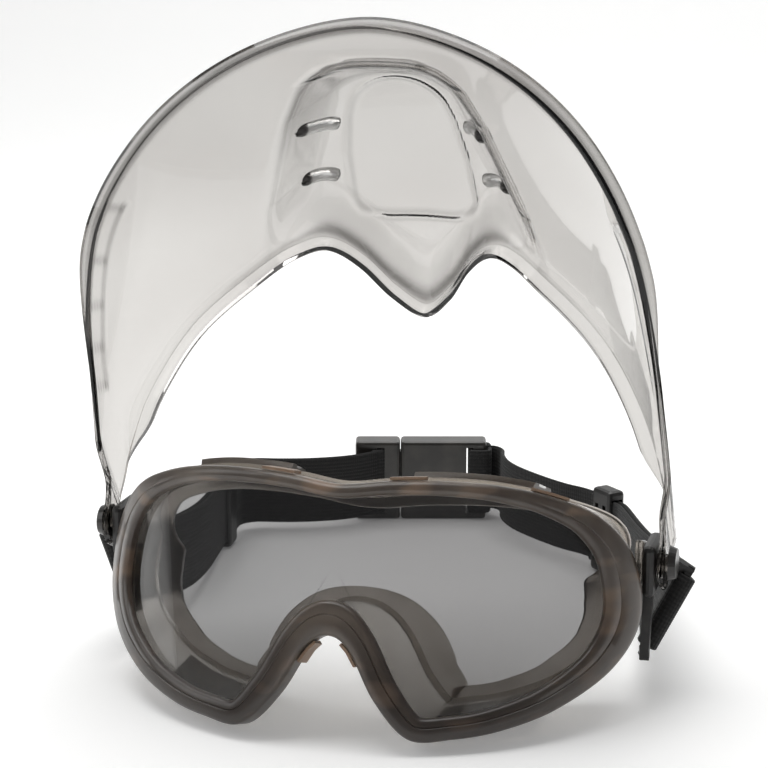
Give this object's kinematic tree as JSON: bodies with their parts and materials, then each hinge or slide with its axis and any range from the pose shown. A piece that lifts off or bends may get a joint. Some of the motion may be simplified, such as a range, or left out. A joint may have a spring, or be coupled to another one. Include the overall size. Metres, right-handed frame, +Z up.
{
  "type": "safety goggles with flip-up face shield",
  "caption": "Wide safety goggles with a grey lens, an elastic strap with a quick-release buckle, and a clear lower-face shield hinged at the temples and raised.",
  "frame": {"origin": "on the floor, under the middle of the whole object as it lies with the shield raised", "axes": "+X to the wearer's left, +Y back from the lens towards the strap's buckle, +Z up from the floor"},
  "size_m": [0.1946, 0.2502, 0.2054],
  "materials": {
    "smoke_frosted_rim": "moulded smoke-brown translucent plastic, satin",
    "grey_lens": "smoke-grey clear sheet, polished",
    "smoke_soft_body": "soft translucent smoke elastomer, satin",
    "soft_face_seal": "soft elastomer, matt",
    "vent_cover": "moulded smoke plastic",
    "amber_clip": "soft translucent amber elastomer",
    "clear_bracket": "clear moulded plastic",
    "pivot_cap": "dark moulded plastic",
    "clear_shield": "clear sheet with a light grey tint, polished",
    "elastic_webbing": "black woven elastic",
    "black_nylon": "moulded black nylon, satin",
    "black_acetal": "moulded black acetal, satin"
  },
  "bodies": {
    "goggles": {"front_rim": "smoke_frosted_rim", "lens": "grey_lens", "frame_body": "smoke_soft_body", "face_seal": "soft_face_seal", "top_vent_cover_left": "vent_cover", "top_vent_cover_right": "vent_cover", "bottom_vent_cover_left": "vent_cover", "bottom_vent_cover_right": "vent_cover", "lens_clip_top_left": "amber_clip", "lens_clip_top_centre": "amber_clip", "lens_clip_top_right": "amber_clip", "lens_clip_nose_left": "amber_clip", "lens_clip_nose_right": "amber_clip", "side_bracket_left": "clear_bracket", "side_bracket_right": "clear_bracket", "pivot_cap_left": "pivot_cap", "pivot_cap_right": "pivot_cap"},
    "shield": {"face_shield": "clear_shield"},
    "strap": {"strap_lug_left": "black_nylon", "strap_lug_right": "black_nylon", "front_webbing_left": "elastic_webbing", "front_webbing_right": "elastic_webbing", "rear_webbing_left": "elastic_webbing", "rear_webbing_right": "elastic_webbing", "buckle_socket": "black_acetal"},
    "slider_right": {"strap_slider_right": "black_nylon"},
    "slider_left": {"strap_slider_left": "black_nylon"},
    "plug": {"buckle_plug": "black_acetal"},
    "button": {"release_button": "black_nylon"}
  },
  "joints": [
    {"name": "shield_hinge", "type": "hinge", "parent": "goggles", "child": "shield", "pos_m": [0, -0.05806, 0.04288], "axis": [1, 0, 0], "range_deg": [0, 127.7]},
    {"name": "strap_hinge", "type": "hinge", "parent": "goggles", "child": "strap", "pos_m": [0, -0.05806, 0.04288], "axis": [1, 0, 0], "range_deg": [-15, 15]},
    {"name": "slider_right_slide", "type": "slide", "parent": "strap", "child": "slider_right", "axis": [0.6967, -0.7174, 0], "range_m": [-0.003, 0.003]},
    {"name": "slider_left_slide", "type": "slide", "parent": "strap", "child": "slider_left", "axis": [0.0784, -0.9969, 0], "range_m": [-0.003, 0.003]},
    {"name": "plug_release", "type": "slide", "parent": "strap", "child": "plug", "axis": [-0.9677, -0.2521, 0], "range_m": [0, 0.022], "deforming": ["rear_webbing_left"]},
    {"name": "button_press", "type": "slide", "parent": "strap", "child": "button", "axis": [0.2521, -0.9677, 0], "range_m": [0, 0.002], "stiffness_N_per_m": 400}
  ]
}
